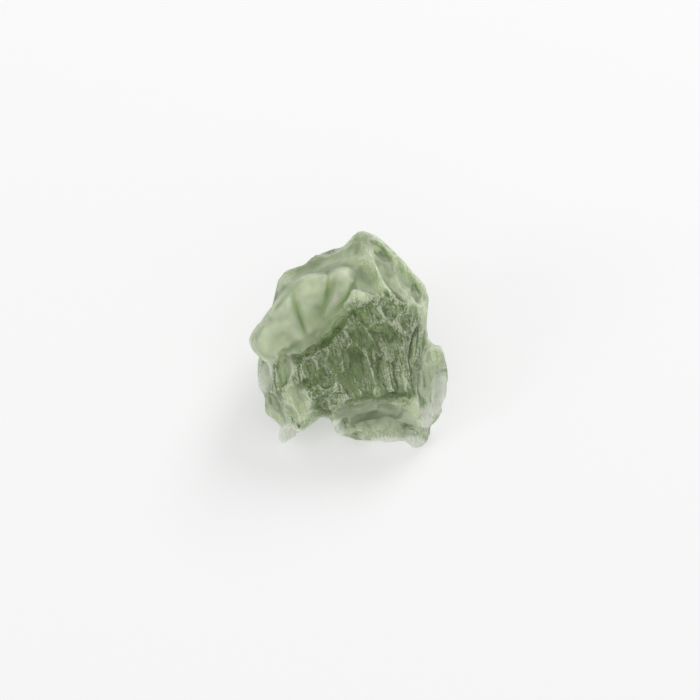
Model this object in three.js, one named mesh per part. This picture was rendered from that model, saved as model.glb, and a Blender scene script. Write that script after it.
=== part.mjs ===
import * as THREE from "three";

// Moldavite: one small piece of green natural glass, etched all over into cups and flutes.
// Millimetres, +Z up. It rests on a small flat spot, and its carved face looks up and towards -Y.
//
// The stone is shaped in the frame of its carved face: u to the right, v up the face and w out of it.
// It starts as outlines that swell like pillows, and scoops are taken out of them.

// Driving dimensions
const faceTurn = 30; // degrees that the carved face leans back from looking straight up
const floorDrop = 6.15; // height of the face frame's centre over the floor
const gridStep = 0.48; // spacing of the points where the stone is measured
const gridLow = new THREE.Vector3(-9.4, -10, -9.6);
const gridHigh = new THREE.Vector3(9.4, 10.2, 7);
const bodyCentre = new THREE.Vector3(0, -0.4, -1.6);
const farAway = 9; // what an empty place measures before anything is laid there
const marchStep = 0.08; // step of the search for the surface
const marchLength = 30; // where that search ends
const chipStart = 12; // how far from the middle it starts for a chip
const slopeReach = 0.35; // half the span over which the surface's slope is read
const pinchGap = 0.02; // how far outside the stone a point is put to part two patches
const tiny = 1e-6; // keeps a division from meeting zero

const stepsPerCorner = 6; // straight stretches of an outline's curve for each of its points

// Pillows: an outline of [u, v] points that swells to front and back of its middle,
// with its full thickness reached a rim's width inside the edge.
const body = {
  front: 3.9,
  back: 6.8,
  rim: 5.4,
  blend: 0.3,
  outline: [
    [0.7, 9.3], [1.5, 9.3], [2.4, 8.9], [3.7, 7.7], [4.9, 6.4], [5.9, 5.3], [6.5, 4.8], [6.8, 3.7],
    [6.6, 1.7], [6.5, 0.2], [6.2, -1.7], [6, -3.6], [6.3, -5.1], [6, -6.4], [4.2, -6.8], [2.1, -7.2],
    [0, -7.2], [-1.3, -7.3], [-1.7, -6.8], [-2.4, -6.6], [-3.1, -7.1], [-4.4, -7.9], [-5.4, -6.8],
    [-6.3, -5.4], [-7, -4.4], [-7.1, -3], [-7.6, -1.5], [-8.5, -0.5], [-8.5, 0.4], [-7.7, 1.7],
    [-6.7, 2.8], [-6.4, 4.2], [-6.1, 5.4], [-5.4, 6.1], [-4.6, 6.3], [-3.9, 6.9], [-2.6, 7.5], [-0.5, 8.3],
  ],
};
const flange = {
  front: 1.3,
  back: 1.5,
  rim: 1.8,
  blend: 0.3,
  middle: -0.6,
  tilt: [-0.05, 0.12],
  tiltFrom: [6.4, -4.2],
  outline: [
    [6, 1.3], [6.6, 0.5], [7.2, -0.3], [7.8, -0.5], [8.2, -1.7], [8.4, -3.2], [8.2, -4.8],
    [7.9, -6.2], [6.9, -7.4], [5.8, -7.8], [4.7, -7.2], [4.2, -5.1], [4.7, -2.1],
  ],
};
const foot = {
  front: 1.6,
  back: 2,
  rim: 2.2,
  blend: 0.3,
  middle: -1.4,
  tilt: [-0.05, 0.16],
  tiltFrom: [2.6, -7.7],
  outline: [
    [-0.4, -5.1], [-1.3, -6.1], [-1.3, -8.1], [-0.7, -8.4], [1.9, -8.8], [3.7, -8.8], [4.7, -8.7],
    [5.4, -9.3], [6.3, -9.1], [6.8, -8.3], [6.9, -7.4], [6.4, -6.1], [4.2, -4.9],
  ],
};
const skirt = {
  front: 1.1,
  back: 1.4,
  rim: 1.5,
  blend: 0.3,
  middle: -0.5,
  tilt: [0, 0.1],
  tiltFrom: [-6.8, -4.2],
  outline: [
    [-6.8, -1], [-7.8, -1.5], [-7.9, -2.6], [-7.9, -3.8], [-7.4, -4.8], [-7.2, -6.2], [-6.5, -6.8],
    [-5.8, -7.7], [-6.1, -8.6], [-5.4, -8.9], [-4.8, -8.6], [-4.7, -7.9], [-4.4, -7.9], [-3.7, -7.2],
    [-4.2, -4.7], [-5.1, -2.6],
  ],
};
const lobeSheet = {
  front: 2.3,
  back: 2.5,
  rim: 1.5,
  blend: 0.12,
  middle: 1.25,
  tilt: [0.15, -0.05],
  tiltFrom: [-3.8, 2.1],
  outline: [
    [-8, 0.5], [-7.1, 1.9], [-5.8, 3.6], [-4.4, 5.1], [-3.1, 5.8], [-1.9, 5.9], [-1, 6.3], [-0.1, 6.2],
    [0.3, 5.4], [0.2, 4.3], [-0.3, 3.1], [-1, 1.8], [-2, 0.5], [-3.2, -0.3], [-4.4, -0.9], [-5.4, -1],
    [-6.3, -1.8], [-7.5, -1.4], [-8.2, -0.6],
  ],
};

const leftLobe = {
  front: 2,
  back: 2,
  rim: 1.8,
  blend: 0.2,
  middle: 1.75,
  tilt: [0.3, 0],
  tiltFrom: [-6.2, 0.8],
  outline: [
    [-4.6, 4.8], [-5.6, 4.2], [-6.5, 3.1], [-7.2, 2.2], [-8, 1.1], [-8.5, 0], [-8.3, -0.9], [-7.8, -1.4],
    [-7, -2], [-6.2, -2.2], [-5.6, -1.9], [-5.1, -1.3], [-4.5, -0.9], [-3.6, -0.4], [-3.5, 0.5],
    [-3.8, 1.7], [-4.2, 2.9], [-4.4, 3.8],
  ],
};
const middleLobe = {
  front: 1.7,
  back: 2,
  rim: 1.5,
  blend: 0.2,
  middle: 2.5,
  tilt: [0.2, 0.05],
  tiltFrom: [-3.5, 2.6],
  outline: [
    [-1.9, 5.6], [-3.4, 5.6], [-4.3, 5.3], [-5, 4.8], [-5.2, 3.9], [-5.1, 3.1], [-4.7, 2.1], [-4.4, 1],
    [-4, 0], [-3.2, -0.5], [-2.4, -0.1], [-1.7, 0.6], [-1.7, 1.3], [-1.8, 2.5], [-1.7, 3.5], [-1.6, 4.5],
  ],
};
const tongue = {
  front: 2,
  back: 2,
  rim: 1.25,
  blend: 0.1,
  middle: 2.75,
  tilt: [0.1, 0.05],
  tiltFrom: [-1.1, 3.8],
  outline: [
    [-2.1, 5.2], [-1.7, 5.9], [-1, 6.2], [-0.3, 6.2], [0.2, 5.9], [0.4, 5.4], [0.3, 4.6], [0, 3.8],
    [-0.4, 3], [-0.9, 2.3], [-1.5, 1.6], [-2.1, 1.1], [-2.6, 0.9], [-2.8, 1.7], [-2.6, 2.5],
    [-2.4, 3.3], [-2.2, 4.2],
  ],
};
const ledge = {
  front: 0.5,
  back: 1.2,
  rim: 0.3,
  blend: 0.06,
  middle: 3.55,
  tilt: [-0.2, -0.25],
  tiltFrom: [0.9, 3.4],
  outline: [
    [0.2, 4.4], [0.8, 4.3], [1.5, 4], [2.2, 3.7], [1.7, 3.2], [1, 2.8], [0.3, 2.55], [-0.3, 2.4],
    [-0.6, 3], [-0.1, 3.8],
  ],
};
const knob = { at: [-5.4, -8.1, -1.2], radii: [0.75, 0.8, 0.9], turn: 0, blend: 0.3 };

// Large chips of the back and sides: direction [u, v, w] from the middle, radius, depth and turn.
const chips = [
  [-0.2, 1, -0.55, 6.5, 1.1, 10],
  [0.9, 0.75, -0.35, 6, 1, 60],
  [1, 0, -0.75, 5.5, 1.1, 100],
  [-1, 0.25, -0.6, 6, 1.2, 30],
  [-0.95, -0.35, -0.8, 6.5, 1.1, 80],
  [0.35, 0.55, -1, 6.5, 1.3, 140],
  [-0.45, 0.65, -1, 5, 1, 20],
  [0.8, -0.5, -0.75, 5.5, 0.9, 50],
  [-1, -0.55, -0.2, 5, 0.7, 0],
];
const chipBlend = 0.25;
const chipStretch = 1.25; // length of a chip as a share of its width
const chipAim = 0.6; // how much a chip faces away from the middle
const chipRise = 0.2; // how much its length climbs out of the face's plane

// Hollows given by their own ellipsoid: place [u, v, w], radii, turn and blend.
const faceHollow = [[0.3, -1.7, 10.65], [9, 7.4, 8], 20, 0.25];
const underHollows = [
  [[3.7, -10.9, 4.3], [9.6, 6.2, 5.4], -4, 0.08],
  [[0.2, -9.5, 4.4], [5.2, 4, 4.6], 14, 0.08],
  [[5.8, -9, 3.6], [4.2, 3.4, 3.6], -20, 0.08],
  [[-2.9, -9.4, -3.8], [2.2, 3.7, 3.5], 0, 0.25],
];

// Scoops in the front: place [u, v], half length, half width, turn in degrees and depth.
const scoopBlend = 0.05;
const scoopAim = 0.25; // how much a scoop faces straight out of the face
const roundestScoop = 1.05; // least height of the ellipsoid that cuts it, as a share of its depth
const shallowCut = 0.05; // least share of that ellipsoid's section, squared, that meets the surface
const facetBlend = 0.2;
const slopeFacets = [
  [-2.9, 7, 4.4, 2, 22, 0.6],
  [4.6, 5.8, 3.9, 2.1, -52, 0.9],
];
const frontScoops = [
  [0.9, -2.6, 2.3, 0.8, -72, 0.6],
  [2.6, -3.2, 1.9, 0.7, -78, 0.4],
  [4, -2.9, 2, 0.7, -78, 0.4],
  [-0.1, -3.9, 1.3, 0.6, -64, 0.35],
  [4.2, -4.4, 0.9, 0.3, 0, 0.25],
  [0.9, 2, 1.3, 0.55, -58, 0.4],
  [2, 2.5, 1.1, 0.5, -56, 0.35],
  [3.3, 2.6, 1.4, 1, -35, 0.45],
  [3.1, 0.2, 1.4, 0.95, -30, 0.4],
  [0.6, 0.3, 1, 0.7, -60, 0.3],
  [4.9, 1.6, 1, 0.75, -65, 0.55],
  [3.5, 5.5, 2.3, 1.2, -68, 0.5],
  [1.5, 5.4, 2, 1.2, -58, 0.45],
  [1, 7.9, 1.6, 0.9, -58, 0.3],
  [5, 5, 1.6, 0.8, -48, 0.3],
  [2.7, 7.6, 1.3, 0.6, -40, 0.25],
  [5.2, 3.9, 0.4, 0.25, -80, 0.35],
  [2.7, -1.5, 0.4, 0.35, -60, 0.3],
  [-3.5, -1.7, 1.1, 0.75, -70, 0.4],
  [-2.4, -1, 0.9, 0.6, -60, 0.35],
  [-1.4, -0.9, 0.8, 0.5, -70, 0.3],
  [-2.1, -3.2, 0.9, 0.75, -50, 0.4],
  [-4.5, -5.1, 1.5, 1.2, -60, 0.6],
  [-5.7, -2.6, 1.4, 0.75, 75, 0.5],
  [-7.2, -3.1, 1.1, 0.5, 88, 0.6],
  [-2.5, -5.3, 0.9, 0.6, 60, 0.3],
  [-1, -5.1, 0.9, 0.6, 70, 0.3],
  [-5, -6.4, 1, 0.6, -70, 0.4],
  [-6.5, -5.3, 1, 0.4, -62, 0.4],
  [6, -4.4, 1.9, 0.4, 84, 0.35],
  [7.5, -4.6, 1.7, 0.4, 82, 0.35],
  [7.1, -1.4, 0.9, 0.6, 60, 0.3],
  [5.4, -0.9, 2, 0.5, 82, 0.4],
  [6.3, -0.4, 1.5, 0.4, 80, 0.35],
  [1.5, -7, 2.2, 0.9, 18, 0.6],
  [4.4, -7.1, 1.5, 1.1, -32, 0.55],
  [2.7, -8.2, 1.5, 0.6, 8, 0.35],
  [5.5, -8.3, 1, 0.6, -48, 0.4],
  [0.7, -5.7, 0.8, 0.3, 14, 0.25],
  [3.3, -5.8, 1.1, 0.65, -24, 0.4],
  [2, -6.2, 0.7, 0.4, 50, 0.2],
  [-0.6, -7.3, 1, 0.5, 78, 0.4],
  [0.6, -8.2, 0.6, 0.4, 30, 0.25],
  [5.5, 2.4, 1.2, 0.6, -80, 0.35],
  [5.8, 3.7, 1.2, 0.5, -80, 0.3],
];
// Small round pits in the carved face: place [u, v], radius and depth.
const roundPits = [
  [-0.9, -3.3, 0.45, 0.27],
  [4.9, 1.7, 0.45, 0.27],
];
const pitBlend = 0.04;

// Cups of the sides and the back, one in most cells of a jittered lattice.
const cupSizes = [
  { spacing: 2.1, smallest: 1.4, largest: 2.2, seed: 3 },
  { spacing: 1.45, smallest: 0.75, largest: 1.25, seed: 5 },
];
const cupBlend = 0.06;
const cupStretch = 0.6; // most that a cup is longer than wide
const cupSink = [0.5, 0.86]; // how far outside the surface its centre lies, as a share of its radius
const highestCup = 1; // largest w of a cup's centre
const flattestCup = 0.72; // largest share of w in the way that a cup faces

// The smaller of two distances, rounded where they cross.
function softMin(a, b, blend) {
  return Math.min(a, b) - Math.max(blend - Math.abs(a - b), 0) ** 2 / (4 * blend);
}

// A repeatable number from 0 to 1 for a set of whole numbers.
function chance(...keys) {
  const weights = [127.1, 311.7, 74.7, 53.3];
  const angle = keys.reduce((sum, key, n) => sum + key * weights[n], 0);
  const large = Math.sin(angle) * 43758.5453;
  return large - Math.floor(large);
}

const cellCorners = [0, 1].flatMap((a) => [0, 1].flatMap((b) => [0, 1].map((c) => [a, b, c])));

// Nearly the distance from a point, given from the centre, to a turned ellipsoid.
function ellipsoidDistance(offset, radii, axes) {
  let near = 0;
  let steep = 0;
  for (let n = 0; n < 3; n++) {
    const along = axes[n].dot(offset) / radii[n];
    near += along ** 2;
    steep += (along / radii[n]) ** 2;
  }
  near = Math.sqrt(near) + tiny;
  steep = Math.sqrt(steep) + tiny;
  return ((near - 1) * near) / steep;
}

// Distance inside a closed line of points, negative outside it.
function insideDistance(line, u, v) {
  let nearest = Infinity;
  let inside = false;
  line.forEach((a, n) => {
    const b = line[(n + 1) % line.length];
    const du = b.x - a.x;
    const dv = b.y - a.y;
    const share = ((u - a.x) * du + (v - a.y) * dv) / (du * du + dv * dv);
    const t = THREE.MathUtils.clamp(share, 0, 1);
    nearest = Math.min(nearest, Math.hypot(u - a.x - t * du, v - a.y - t * dv));
    if (a.y > v !== b.y > v && u < a.x + ((v - a.y) * du) / dv) inside = !inside;
  });
  return inside ? nearest : -nearest;
}

// Axes of something turned in the plane of the face.
function turnedAxes(degrees) {
  const angle = THREE.MathUtils.degToRad(degrees);
  return [
    new THREE.Vector3(Math.cos(angle), Math.sin(angle), 0),
    new THREE.Vector3(-Math.sin(angle), Math.cos(angle), 0),
    new THREE.Vector3(0, 0, 1),
  ];
}

// Axes of something that lies on a surface: along it, across it and out of it.
function surfaceAxes(outward, along) {
  const first = along.clone().addScaledVector(outward, -along.dot(outward)).normalize();
  return [first, new THREE.Vector3().crossVectors(outward, first), outward];
}

// A block of grid points, each holding its distance to the stone's surface, negative inside.
class StoneField {
  constructor() {
    const size = gridHigh.clone().sub(gridLow);
    this.count = size.toArray().map((side) => Math.ceil(side / gridStep) + 1);
    this.values = new Float64Array(this.count[0] * this.count[1] * this.count[2]).fill(farAway);
  }

  index(i, j, k) {
    return (i * this.count[1] + j) * this.count[2] + k;
  }

  point(i, j, k) {
    return new THREE.Vector3(i, j, k).multiplyScalar(gridStep).add(gridLow);
  }

  // Gives every point within reach of a place a new value from its old one.
  change(place, reach, rule) {
    const from = place.clone().subScalar(reach).sub(gridLow).divideScalar(gridStep).floor().toArray();
    const to = place.clone().addScalar(reach).sub(gridLow).divideScalar(gridStep).ceil().toArray();
    const low = from.map((n) => Math.max(n, 0));
    const high = to.map((n, axis) => Math.min(n, this.count[axis] - 1));
    for (let i = low[0]; i <= high[0]; i++)
      for (let j = low[1]; j <= high[1]; j++)
        for (let k = low[2]; k <= high[2]; k++) {
          const n = this.index(i, j, k);
          this.values[n] = rule(this.point(i, j, k), this.values[n]);
        }
  }

  changeAll(rule) {
    this.change(new THREE.Vector3(), Math.max(...this.count) * gridStep, rule);
  }

  add(place, radii, axes, blend) {
    this.change(place, Math.max(...radii) + gridStep + blend, (point, old) =>
      softMin(old, ellipsoidDistance(point.sub(place), radii, axes), blend));
  }

  cut(place, radii, axes, blend) {
    this.change(place, Math.max(...radii) + gridStep + blend, (point, old) =>
      -softMin(-old, ellipsoidDistance(point.sub(place), radii, axes), blend));
  }

  value(point) {
    const spot = point.clone().sub(gridLow).divideScalar(gridStep).toArray();
    const cell = spot.map((n, axis) => THREE.MathUtils.clamp(Math.floor(n), 0, this.count[axis] - 2));
    const share = spot.map((n, axis) => THREE.MathUtils.clamp(n - cell[axis], 0, 1));
    let sum = 0;
    for (const [a, b, c] of cellCorners) {
      const weights = [a, b, c].map((side, axis) => (side ? share[axis] : 1 - share[axis]));
      const weight = weights[0] * weights[1] * weights[2];
      sum += weight * this.values[this.index(cell[0] + a, cell[1] + b, cell[2] + c)];
    }
    return sum;
  }

  outward(point) {
    const slope = turnedAxes(0).map(
      (axis) =>
        this.value(point.clone().addScaledVector(axis, slopeReach)) -
        this.value(point.clone().addScaledVector(axis, -slopeReach)),
    );
    return new THREE.Vector3(...slope).normalize();
  }

  // The first place on the surface that is met on the way from a start outside, or null.
  meet(start, way) {
    const place = start.clone();
    let before = this.value(place);
    for (let travelled = 0; travelled < marchLength; travelled += marchStep) {
      place.addScaledVector(way, marchStep);
      const after = this.value(place);
      if (after < 0) return place.addScaledVector(way, (marchStep * after) / (before - after));
      before = after;
    }
    return null;
  }

  front(u, v) {
    return this.meet(new THREE.Vector3(u, v, gridHigh.z - 0.1), new THREE.Vector3(0, 0, -1));
  }
}

function layPillow(stone, pillow) {
  const { outline, front, back, rim, blend, middle = 0, tilt = [0, 0], tiltFrom = [0, 0] } = pillow;
  const corners = outline.map(([u, v]) => new THREE.Vector3(u, v, 0));
  const curve = new THREE.CatmullRomCurve3(corners, true, "catmullrom", 0.5);
  const line = curve.getPoints(corners.length * stepsPerCorner).slice(0, -1);
  const depths = new Map();
  stone.changeAll((point, old) => {
    const column = `${point.x} ${point.y}`;
    if (!depths.has(column)) depths.set(column, insideDistance(line, point.x, point.y));
    const side = Math.max(1 - depths.get(column) / rim, 0);
    const level = middle + tilt[0] * (point.x - tiltFrom[0]) + tilt[1] * (point.y - tiltFrom[1]);
    const half = point.z > level ? front : back;
    const off = (point.z - level) / half;
    const near = Math.hypot(side, off) + tiny;
    const steep = Math.hypot(side / rim, off / half) + tiny;
    return softMin(old, ((near - 1) * near) / steep, blend);
  });
}

// Takes an ellipsoid bite out of the surface, of the given length, width and depth at the surface.
function scoop(stone, at, outward, along, halfLength, halfWidth, depth, roundness, blend) {
  const height = Math.max(halfWidth * roundness, depth * roundestScoop);
  const cutShare = Math.sqrt(Math.max(1 - (1 - depth / height) ** 2, shallowCut));
  const centre = at.clone().addScaledVector(outward, height - depth);
  const radii = [halfLength / cutShare, halfWidth / cutShare, height];
  stone.cut(centre, radii, surfaceAxes(outward, along), blend);
}

function scoopFront(stone, [u, v, halfLength, halfWidth, turn, depth], blend) {
  const at = stone.front(u, v);
  if (!at) return;
  const outward = stone.outward(at).lerp(new THREE.Vector3(0, 0, 1), scoopAim).normalize();
  scoop(stone, at, outward, turnedAxes(turn)[0], halfLength, halfWidth, depth, 1, blend);
}

function chipSide(stone, [u, v, w, radius, depth, turn]) {
  const way = new THREE.Vector3(u, v, w).normalize();
  const at = stone.meet(bodyCentre.clone().addScaledVector(way, chipStart), way.clone().negate());
  const outward = stone.outward(at).addScaledVector(way, chipAim).normalize();
  const halfWidth = Math.sqrt(2 * radius * depth);
  const along = turnedAxes(turn)[0].setZ(chipRise);
  const roundness = radius / halfWidth;
  scoop(stone, at, outward, along, chipStretch * halfWidth, halfWidth, depth, roundness, chipBlend);
}

function cutCups(stone, { spacing, smallest, largest, seed }) {
  const low = gridLow.clone().divideScalar(spacing).floor();
  const high = gridHigh.clone().divideScalar(spacing).ceil();
  const cups = [];
  for (let i = low.x; i <= high.x; i++)
    for (let j = low.y; j <= high.y; j++)
      for (let k = low.z; k <= high.z; k++) {
        const random = (n) => chance(i, j, k, seed + n);
        const centre = new THREE.Vector3(i + random(0), j + random(1), k + random(2)).multiplyScalar(spacing);
        const isOnGrid = centre.clone().clamp(gridLow, gridHigh).equals(centre);
        if (centre.z > highestCup || !isOnGrid) continue;
        const radius = smallest + (largest - smallest) * random(4);
        const sink = stone.value(centre) / radius;
        if (sink < cupSink[0] || sink > cupSink[1]) continue;
        const outward = stone.outward(centre);
        if (outward.z > flattestCup) continue;
        const along = new THREE.Vector3(random(6) - 0.5, random(7) - 0.5, random(8) - 0.5).cross(outward);
        const stretch = 1 + cupStretch * random(5);
        cups.push({ centre, radius, stretch, axes: surfaceAxes(outward, along) });
      }
  for (const { centre, radius, stretch, axes } of cups)
    stone.cut(centre, [radius * stretch, radius, radius], axes, cupBlend);
}

function makeStone() {
  const stone = new StoneField();
  layPillow(stone, body);
  chips.forEach((chip) => chipSide(stone, chip));
  slopeFacets.forEach((facet) => scoopFront(stone, facet, facetBlend));
  const hollowOut = ([place, radii, turn, blend]) =>
    stone.cut(new THREE.Vector3(...place), radii, turnedAxes(turn), blend);
  hollowOut(faceHollow);
  for (const pillow of [flange, foot, skirt, lobeSheet, leftLobe, middleLobe, tongue])
    layPillow(stone, pillow);
  stone.add(new THREE.Vector3(...knob.at), knob.radii, turnedAxes(knob.turn), knob.blend);
  underHollows.forEach(hollowOut);
  frontScoops.forEach((entry) => scoopFront(stone, entry, scoopBlend));
  layPillow(stone, ledge);
  for (const [u, v, radius, depth] of roundPits) {
    const at = stone.front(u, v);
    scoop(stone, at, stone.outward(at), new THREE.Vector3(1, 0, 0), radius, radius, depth, 1, pitBlend);
  }
  cupSizes.forEach((size) => cutCups(stone, size));
  const lean = THREE.MathUtils.degToRad(faceTurn);
  const heightOf = (point) => point.y * Math.sin(lean) + point.z * Math.cos(lean) + floorDrop;
  stone.changeAll((point, old) => Math.max(old, -heightOf(point)));
  clearPinches(stone);
  return stone;
}

function eachCell(stone, visit) {
  for (let i = 0; i < stone.count[0] - 1; i++)
    for (let j = 0; j < stone.count[1] - 1; j++)
      for (let k = 0; k < stone.count[2] - 1; k++) visit([i, j, k]);
}

// Whether corners of a grid cell hold the stone in two patches that meet at a line or a point.
function isPinched(inside) {
  if (inside.length === 4) {
    const [a, b, c, d] = inside;
    return a === d && b === c && a !== b;
  }
  const total = inside.filter(Boolean).length;
  const opposite = [0, 1, 2, 3].some((n) => inside[n] === inside[7 - n] && inside[n] === (total === 2));
  return (total === 2 || total === 6) && opposite;
}

// Thins the stone by a grid point wherever it would meet itself only along a line or at a point.
function clearPinches(stone) {
  const faces = [0, 1, 2].flatMap((axis) => [0, 1].map((side) =>
    cellCorners.filter((corner) => corner[axis] === side)));
  let pinches = 1;
  while (pinches > 0) {
    pinches = 0;
    eachCell(stone, (cell) => {
      for (const corners of [...faces, cellCorners]) {
        const places = corners.map((corner) => stone.index(...corner.map((n, axis) => n + cell[axis])));
        if (!isPinched(places.map((place) => stone.values[place] < 0))) continue;
        const filled = places.filter((place) => stone.values[place] < 0);
        const thinnest = filled.reduce((a, b) => (stone.values[a] > stone.values[b] ? a : b));
        stone.values[thinnest] = pinchGap;
        pinches += 1;
      }
    });
  }
}

// The middle of the surface's crossings with the edges of one grid cell, or null.
function cellMiddle(stone, i, j, k) {
  const middle = new THREE.Vector3();
  let crossings = 0;
  for (const corner of cellCorners)
    for (let axis = 0; axis < 3; axis++) {
      if (corner[axis] === 1) continue;
      const other = corner.map((n, which) => (which === axis ? 1 : n));
      const here = stone.values[stone.index(i + corner[0], j + corner[1], k + corner[2])];
      const there = stone.values[stone.index(i + other[0], j + other[1], k + other[2])];
      if (here < 0 === there < 0) continue;
      const crossing = new THREE.Vector3(i + corner[0], j + corner[1], k + corner[2]);
      crossing.setComponent(axis, crossing.getComponent(axis) + here / (here - there));
      middle.add(crossing);
      crossings += 1;
    }
  return crossings ? middle.divideScalar(crossings).multiplyScalar(gridStep).add(gridLow) : null;
}

// A net over the surface: a vertex in each cell that it crosses, and two triangles, parted along
// the shorter diagonal, across each grid edge that it crosses.
function surfaceNet(stone) {
  const vertices = [];
  const vertexIn = new Map();
  eachCell(stone, (cell) => {
    const middle = cellMiddle(stone, ...cell);
    if (!middle) return;
    vertexIn.set(stone.index(...cell), vertices.length);
    vertices.push(middle);
  });
  const triangles = [];
  eachCell(stone, (start) => {
    for (let axis = 0; axis < 3; axis++) {
      const end = start.map((n, which) => (which === axis ? n + 1 : n));
      const startInside = stone.values[stone.index(...start)] < 0;
      if (startInside === stone.values[stone.index(...end)] < 0) continue;
      const ring = [[-1, -1], [0, -1], [0, 0], [-1, 0]].map(([first, second]) => {
        const cell = [...start];
        cell[(axis + 1) % 3] += first;
        cell[(axis + 2) % 3] += second;
        return vertexIn.get(stone.index(...cell));
      });
      const [a, b, c, d] = startInside ? ring : ring.reverse();
      const shortWay = vertices[a].distanceTo(vertices[c]) < vertices[b].distanceTo(vertices[d]);
      triangles.push(...(shortWay ? [a, b, c, a, c, d] : [a, b, d, b, c, d]));
    }
  });
  const geometry = new THREE.BufferGeometry().setFromPoints(vertices);
  geometry.setIndex(triangles);
  return geometry;
}

const geometry = surfaceNet(makeStone());
geometry.rotateX(THREE.MathUtils.degToRad(faceTurn));
geometry.translate(0, 0, floorDrop);
geometry.computeBoundingBox();
const middle = geometry.boundingBox.getCenter(new THREE.Vector3());
geometry.translate(-middle.x, -middle.y, 0);
geometry.computeVertexNormals();

const greenGlass = new THREE.MeshStandardMaterial({
  color: 0x8fa878,
  roughness: 0.45,
  metalness: 0,
  transparent: true,
  opacity: 0.85,
});

const moldavite = new THREE.Mesh(geometry, greenGlass);
moldavite.name = "moldavite";

const part = new THREE.Group();
part.add(moldavite);

export default part;
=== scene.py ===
import math

import bpy
import numpy as np
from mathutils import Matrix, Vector


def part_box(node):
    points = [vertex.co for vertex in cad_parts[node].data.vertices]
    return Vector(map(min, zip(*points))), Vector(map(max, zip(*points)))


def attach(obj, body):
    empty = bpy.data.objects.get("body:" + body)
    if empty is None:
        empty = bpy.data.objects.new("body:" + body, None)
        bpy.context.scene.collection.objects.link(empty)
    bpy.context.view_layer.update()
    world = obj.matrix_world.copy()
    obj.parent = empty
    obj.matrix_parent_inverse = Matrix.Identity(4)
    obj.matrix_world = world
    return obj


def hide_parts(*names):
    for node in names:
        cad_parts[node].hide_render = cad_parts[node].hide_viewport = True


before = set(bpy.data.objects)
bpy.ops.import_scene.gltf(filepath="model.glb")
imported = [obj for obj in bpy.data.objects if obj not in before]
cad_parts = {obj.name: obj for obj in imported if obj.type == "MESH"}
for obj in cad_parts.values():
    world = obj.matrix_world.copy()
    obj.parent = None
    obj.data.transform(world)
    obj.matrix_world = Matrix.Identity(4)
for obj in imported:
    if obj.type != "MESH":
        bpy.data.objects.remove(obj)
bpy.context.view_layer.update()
mm = 0.001

# Shape of the stone, in millimetres. It is made in the frame of its carved face:
# u to the right, v up the face and w out of it.
stone = {
    "faceTurn": 30,  # degrees that the face leans back from looking straight up
    "floorDrop": 6.15,  # height of the face frame's centre over the floor
    "gridStep": 0.12,
    "gridLow": (-9.4, -10.0, -9.6),
    "gridHigh": (9.4, 10.2, 7.0),
    "bodyCentre": (0.0, -0.4, -1.6),
    "knob": ((-5.4, -8.1, -1.2), (0.75, 0.8, 0.9), 0, 0.3),  # place, radii, turn and blend
    "pitDepth": 0.27,
}
lean = math.radians(stone["faceTurn"])

# Outlines that swell like pillows to the front and back of their middle, with a round rim
body = {
    "front": 3.9, "back": 6.8, "rim": 5.4, "blend": 0.3, "middle": 0, "tilt": (0, 0), "tiltFrom": (0, 0),
    "outline": [
        (0.7, 9.3), (1.5, 9.3), (2.4, 8.9), (3.7, 7.7), (4.9, 6.4), (5.9, 5.3), (6.5, 4.8), (6.8, 3.7),
        (6.6, 1.7), (6.5, 0.2), (6.2, -1.7), (6, -3.6), (6.3, -5.1), (6, -6.4), (4.2, -6.8), (2.1, -7.2),
        (0, -7.2), (-1.3, -7.3), (-1.7, -6.8), (-2.4, -6.6), (-3.1, -7.1), (-4.4, -7.9), (-5.4, -6.8),
        (-6.3, -5.4), (-7, -4.4), (-7.1, -3), (-7.6, -1.5), (-8.5, -0.5), (-8.5, 0.4), (-7.7, 1.7),
        (-6.7, 2.8), (-6.4, 4.2), (-6.1, 5.4), (-5.4, 6.1), (-4.6, 6.3), (-3.9, 6.9), (-2.6, 7.5),
        (-0.5, 8.3),
    ],
}
flange = {
    "front": 1.3, "back": 1.5, "rim": 1.8, "blend": 0.3, "middle": -0.6,
    "tilt": (-0.05, 0.12), "tiltFrom": (6.4, -4.2),
    "outline": [
        (6, 1.3), (6.6, 0.5), (7.2, -0.3), (7.8, -0.5), (8.2, -1.7), (8.4, -3.2), (8.2, -4.8),
        (7.9, -6.2), (6.9, -7.4), (5.8, -7.8), (4.7, -7.2), (4.2, -5.1), (4.7, -2.1),
    ],
}
foot = {
    "front": 1.6, "back": 2, "rim": 2.2, "blend": 0.3, "middle": -1.4,
    "tilt": (-0.05, 0.16), "tiltFrom": (2.6, -7.7),
    "outline": [
        (-0.4, -5.1), (-1.3, -6.1), (-1.3, -8.1), (-0.7, -8.4), (1.9, -8.8), (3.7, -8.8), (4.7, -8.7),
        (5.4, -9.3), (6.3, -9.1), (6.8, -8.3), (6.9, -7.4), (6.4, -6.1), (4.2, -4.9),
    ],
}
skirt = {
    "front": 1.1, "back": 1.4, "rim": 1.5, "blend": 0.3, "middle": -0.5,
    "tilt": (0, 0.1), "tiltFrom": (-6.8, -4.2),
    "outline": [
        (-6.8, -1), (-7.8, -1.5), (-7.9, -2.6), (-7.9, -3.8), (-7.4, -4.8), (-7.2, -6.2), (-6.5, -6.8),
        (-5.8, -7.7), (-6.1, -8.6), (-5.4, -8.9), (-4.8, -8.6), (-4.7, -7.9), (-4.4, -7.9), (-3.7, -7.2),
        (-4.2, -4.7), (-5.1, -2.6),
    ],
}
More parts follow.
